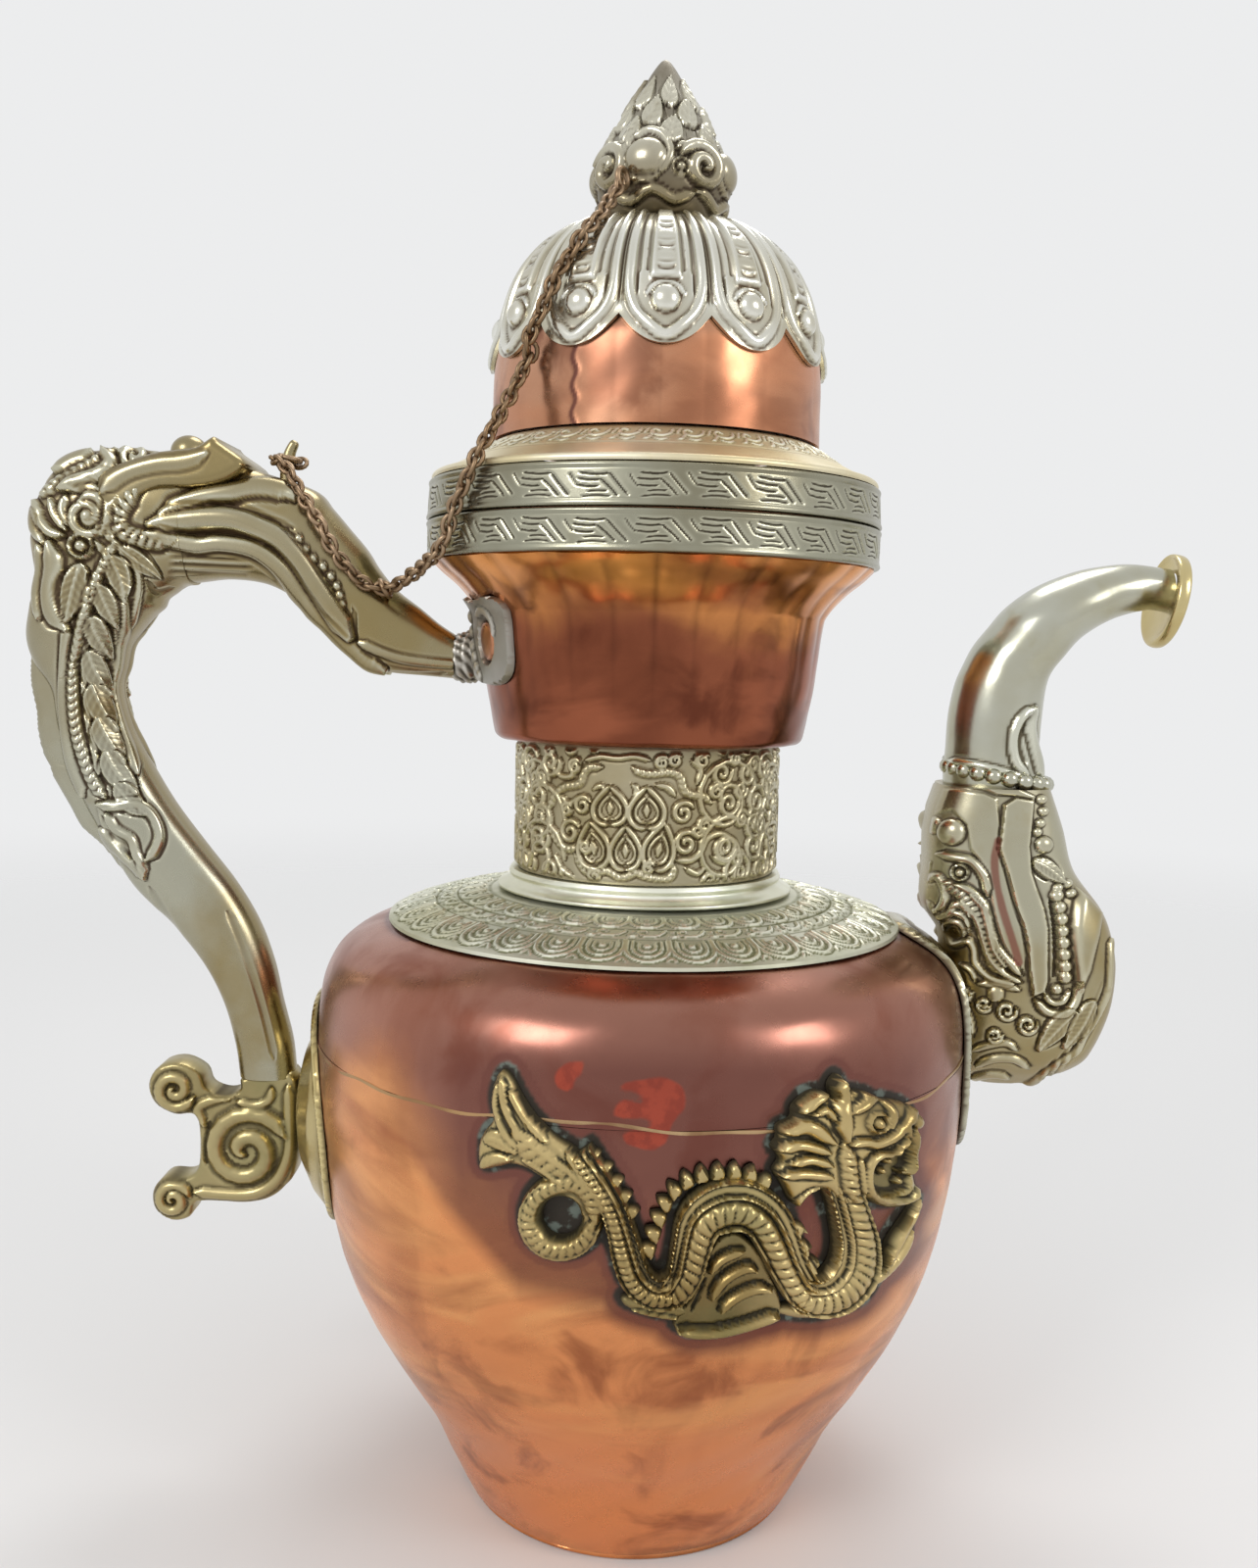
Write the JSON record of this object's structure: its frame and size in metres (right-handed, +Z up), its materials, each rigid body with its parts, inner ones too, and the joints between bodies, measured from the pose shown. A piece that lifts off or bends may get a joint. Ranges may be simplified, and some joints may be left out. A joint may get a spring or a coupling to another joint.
{
  "type": "ewer",
  "caption": "Hammered copper ewer with lift-off domed lid on a chain, makara-head handle and spout, and relief dragons on the belly",
  "frame": {"origin": "Middle of the flat foot, on the surface that the ewer stands on", "axes": "+Z up through the lid's finial, +X towards the spout, -Y towards the front with its dragon"},
  "size_m": [0.29, 0.1722, 0.3597],
  "materials": {
    "base_plate": "dull copper",
    "body_lower": "polished copper with brown stains",
    "belly_seam": "brazed seam",
    "body_upper": "polished copper",
    "shoulder_plate": "tarnished white metal, embossed",
    "neck_tube": "dull copper",
    "neck_foot_ring": "polished white metal",
    "neck_sleeve": "embossed white metal",
    "cup": "polished copper, hammered flare",
    "rim_band": "engraved white metal",
    "lid_band": "engraved white metal",
    "lid_flange": "engraved white metal",
    "lid_sleeve": "dull copper",
    "lid_dome": "polished pink copper",
    "lid_petal_cap": "embossed white metal",
    "finial": "cast and chased white metal",
    "tang_washer": "dull copper",
    "finial_tang": "dull copper",
    "finial_loop": "bent wire",
    "handle_trunk": "chased white metal with brown patina",
    "handle_head": "chased white metal with brown patina",
    "handle_lip": "polished white metal",
    "brow_knob": "polished white metal",
    "handle_stem": "chased white metal with brown patina",
    "mane_fin_upper": "plain sheet",
    "mane_fin_lower": "plain sheet",
    "handle_scroll": "cast, greenish brass",
    "handle_boss": "polished, yellowish",
    "handle_saddle": "chased white metal",
    "saddle_rivet_front": "polished copper",
    "saddle_rivet_back": "polished copper",
    "chain_pin": "worn",
    "pin_ring": "dark bent wire",
    "chain_eyelet": "dark bent wire",
    "chain_upper": "dark double-looped wire links",
    "chain_lower": "dark double-looped wire links",
    "spout_plate": "rolled rim, chased",
    "spout_root": "chased white metal with brown patina",
    "spout_tube": "polished white metal",
    "spout_bead_ring": "beaded",
    "spout_lip": "yellow brass",
    "dragon_front": "cast brass with green and brown tarnish",
    "dragon_back": "cast brass with green and brown tarnish"
  },
  "bodies": {
    "vessel": {"base_plate": "base_plate", "body_lower": "body_lower", "belly_seam": "belly_seam", "body_upper": "body_upper", "shoulder_plate": "shoulder_plate", "neck_tube": "neck_tube", "neck_foot_ring": "neck_foot_ring", "neck_sleeve": "neck_sleeve", "cup": "cup", "rim_band": "rim_band", "handle_trunk": "handle_trunk", "handle_head": "handle_head", "handle_lip": "handle_lip", "brow_knob": "brow_knob", "handle_stem": "handle_stem", "mane_fin_upper": "mane_fin_upper", "mane_fin_lower": "mane_fin_lower", "handle_scroll": "handle_scroll", "handle_boss": "handle_boss", "handle_saddle": "handle_saddle", "saddle_rivet_front": "saddle_rivet_front", "saddle_rivet_back": "saddle_rivet_back", "chain_pin": "chain_pin", "pin_ring": "pin_ring", "chain_eyelet": "chain_eyelet", "chain_upper": "chain_upper", "chain_lower": "chain_lower", "spout_plate": "spout_plate", "spout_root": "spout_root", "spout_tube": "spout_tube", "spout_bead_ring": "spout_bead_ring", "spout_lip": "spout_lip", "dragon_front": "dragon_front", "dragon_back": "dragon_back"},
    "lid": {"lid_band": "lid_band", "lid_flange": "lid_flange", "lid_sleeve": "lid_sleeve", "lid_dome": "lid_dome", "lid_petal_cap": "lid_petal_cap", "finial": "finial", "tang_washer": "tang_washer", "finial_tang": "finial_tang", "finial_loop": "finial_loop"}
  },
  "joints": [
    {"name": "lid_lift", "type": "slide", "parent": "vessel", "child": "lid", "axis": [0, 0, 1], "range_m": [0, 0.025], "deforming": ["chain_upper"]}
  ]
}
